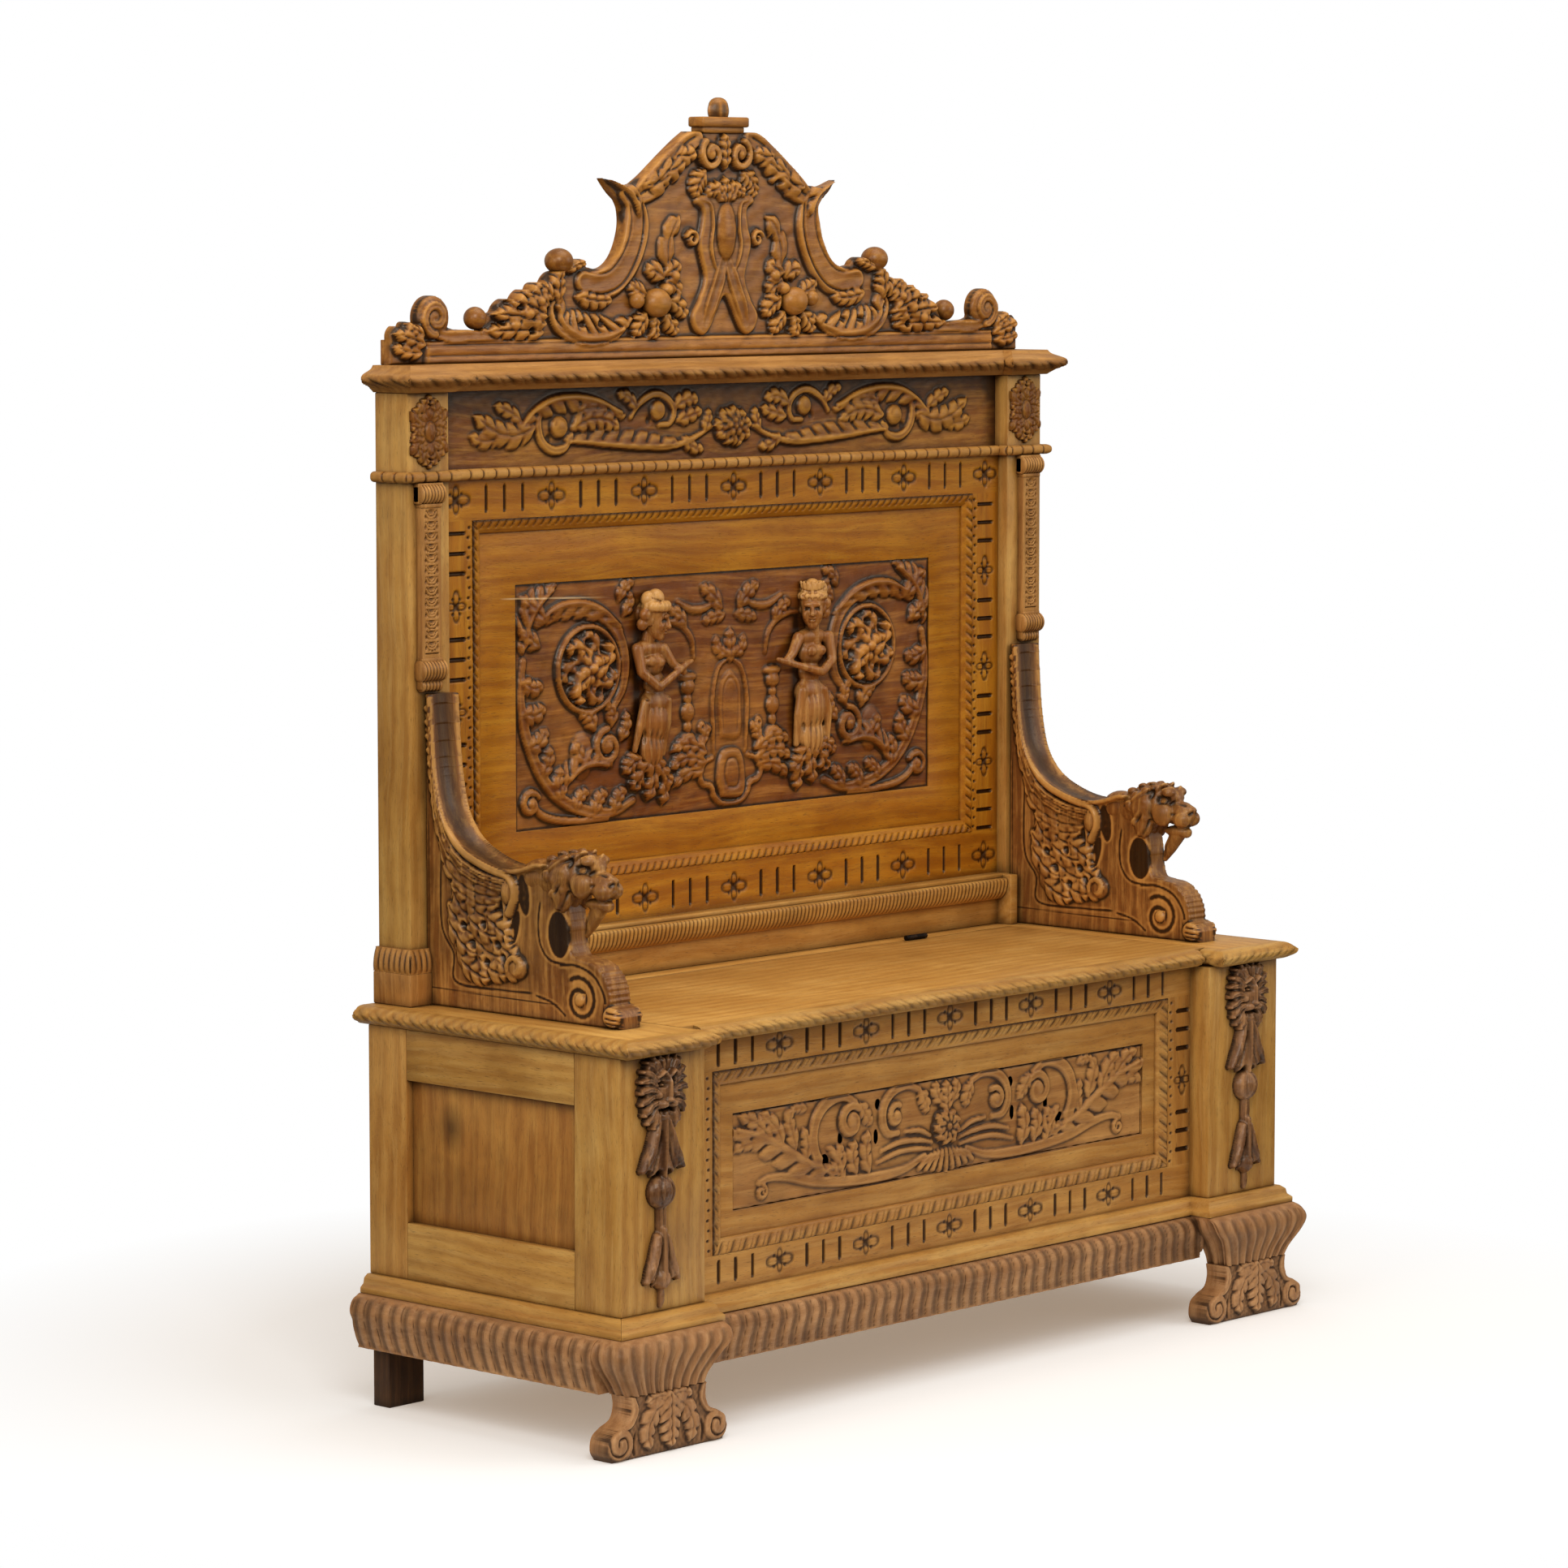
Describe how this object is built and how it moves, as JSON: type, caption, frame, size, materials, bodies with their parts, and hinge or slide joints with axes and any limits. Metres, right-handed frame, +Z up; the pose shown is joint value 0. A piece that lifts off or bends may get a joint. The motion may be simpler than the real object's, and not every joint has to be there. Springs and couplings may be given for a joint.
{
  "type": "carved hall bench with storage chest",
  "caption": "High-backed carved walnut hall bench: lift-up seat over a panelled chest, winged-lion arms, carved panelled back and arched crest.",
  "frame": {"origin": "on the floor under the middle of the bench's overall box", "axes": "+Z up, the front faces -Y, +X to the right as seen from the front"},
  "size_m": [1.5268, 0.552, 1.85],
  "materials": {
    "frame_walnut": "satin varnish",
    "seat_walnut": "worn satin varnish",
    "carved_walnut": "stained and varnished carving",
    "base_walnut": "matt, fluted",
    "dark_foot_wood": "matt, bare",
    "hinge_iron": "black, worn"
  },
  "bodies": {
    "root": {"arm_left": "carved_walnut", "arm_right": "carved_walnut", "back_bottom_rail": "frame_walnut", "back_carving": "carved_walnut", "back_foot_left": "dark_foot_wood", "back_foot_right": "dark_foot_wood", "back_frame_stiles": "frame_walnut", "back_panel": "frame_walnut", "back_panel_moulding": "frame_walnut", "back_sill": "frame_walnut", "back_stile_left": "frame_walnut", "back_stile_right": "frame_walnut", "back_top_rail": "frame_walnut", "base_back_rail": "frame_walnut", "base_cap_front": "frame_walnut", "base_cap_left": "frame_walnut", "base_cap_right": "frame_walnut", "bead_moulding": "carved_walnut", "chest_back_panel": "seat_walnut", "chest_back_rails": "seat_walnut", "chest_back_stiles": "frame_walnut", "chest_bottom": "seat_walnut", "cornice": "carved_walnut", "crest_board": "carved_walnut", "foot_block_left": "base_walnut", "foot_block_right": "base_walnut", "frieze_panel": "carved_walnut", "front_apron": "base_walnut", "front_bottom_rail": "frame_walnut", "front_carving": "carved_walnut", "front_foot_left": "base_walnut", "front_foot_right": "base_walnut", "front_frame_stiles": "frame_walnut", "front_panel": "frame_walnut", "front_panel_moulding": "frame_walnut", "front_post_left": "frame_walnut", "front_post_right": "frame_walnut", "front_top_rail": "frame_walnut", "hinge_pins": "hinge_iron", "hinge_strip_leaves": "hinge_iron", "hinge_strip_screws": "hinge_iron", "pilasters": "frame_walnut", "post_drop_left": "carved_walnut", "post_drop_right": "carved_walnut", "seat_back_strip": "seat_walnut", "seat_end_left": "seat_walnut", "seat_end_right": "seat_walnut", "seat_nosings": "carved_walnut", "side_apron_left": "base_walnut", "side_apron_right": "base_walnut", "side_panels": "frame_walnut", "side_rails_left": "frame_walnut", "side_rails_right": "frame_walnut", "stile_pedestal_left": "frame_walnut", "stile_pedestal_right": "frame_walnut"},
    "lid": {"seat_lid": "seat_walnut", "lid_moulding": "carved_walnut", "lid_battens": "seat_walnut", "hinge_lid_leaves": "hinge_iron", "hinge_lid_screws": "hinge_iron"}
  },
  "joints": [
    {"name": "lid_hinge", "type": "hinge", "parent": "root", "child": "lid", "pos_m": [0, 0.176, 0.5753], "axis": [-1, 0, 0], "range_deg": [0, 95]}
  ]
}
